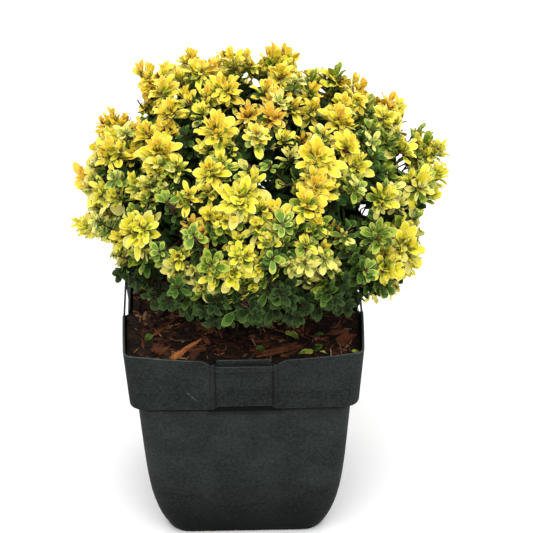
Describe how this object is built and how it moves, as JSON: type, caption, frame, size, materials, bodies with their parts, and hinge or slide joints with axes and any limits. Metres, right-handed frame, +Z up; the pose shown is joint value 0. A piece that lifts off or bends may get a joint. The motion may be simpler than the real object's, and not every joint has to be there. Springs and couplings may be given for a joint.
{
  "type": "potted barberry shrub",
  "caption": "Compact golden barberry shrub with a rounded leafy crown on a short branching stem, in a square plastic nursery pot filled with bark mix.",
  "frame": {"origin": "middle of the pot's flat underside", "axes": "+Z up out of the pot, the pictured front faces -Y, +X to the right of it"},
  "size_m": [0.2882, 0.2944, 0.3772],
  "materials": {
    "pot_plastic": "matt dark grey moulded plastic, faintly mottled",
    "potting_mix": "damp dark bark and peat mix",
    "stem_bark": "grey-brown furrowed bark",
    "bough_bark": "red-brown ridged bark",
    "leaf_low": "matt green leaves with pale margins",
    "leaf_mid": "satin yellow-green leaves with cream margins",
    "leaf_top": "satin golden-yellow young leaves"
  },
  "bodies": {
    "root": {"pot": "pot_plastic", "soil": "potting_mix", "stem": "stem_bark", "bough_low_1": "bough_bark", "bough_low_2": "bough_bark", "bough_low_3": "bough_bark", "bough_low_4": "bough_bark", "bough_low_5": "bough_bark", "bough_low_6": "bough_bark", "bough_low_7": "bough_bark", "bough_low_8": "bough_bark", "bough_mid_1": "bough_bark", "bough_mid_2": "bough_bark", "bough_mid_3": "bough_bark", "bough_mid_4": "bough_bark", "bough_mid_5": "bough_bark", "bough_mid_6": "bough_bark", "bough_top_1": "bough_bark", "foliage_low_1": "leaf_low", "foliage_low_2": "leaf_low", "foliage_low_3": "leaf_low", "foliage_low_4": "leaf_low", "foliage_low_5": "leaf_low", "foliage_low_6": "leaf_low", "foliage_low_7": "leaf_low", "foliage_low_8": "leaf_low", "foliage_mid_1": "leaf_mid", "foliage_mid_2": "leaf_mid", "foliage_mid_3": "leaf_mid", "foliage_mid_4": "leaf_mid", "foliage_mid_5": "leaf_mid", "foliage_mid_6": "leaf_mid", "foliage_top_1": "leaf_top"}
  },
  "joints": []
}
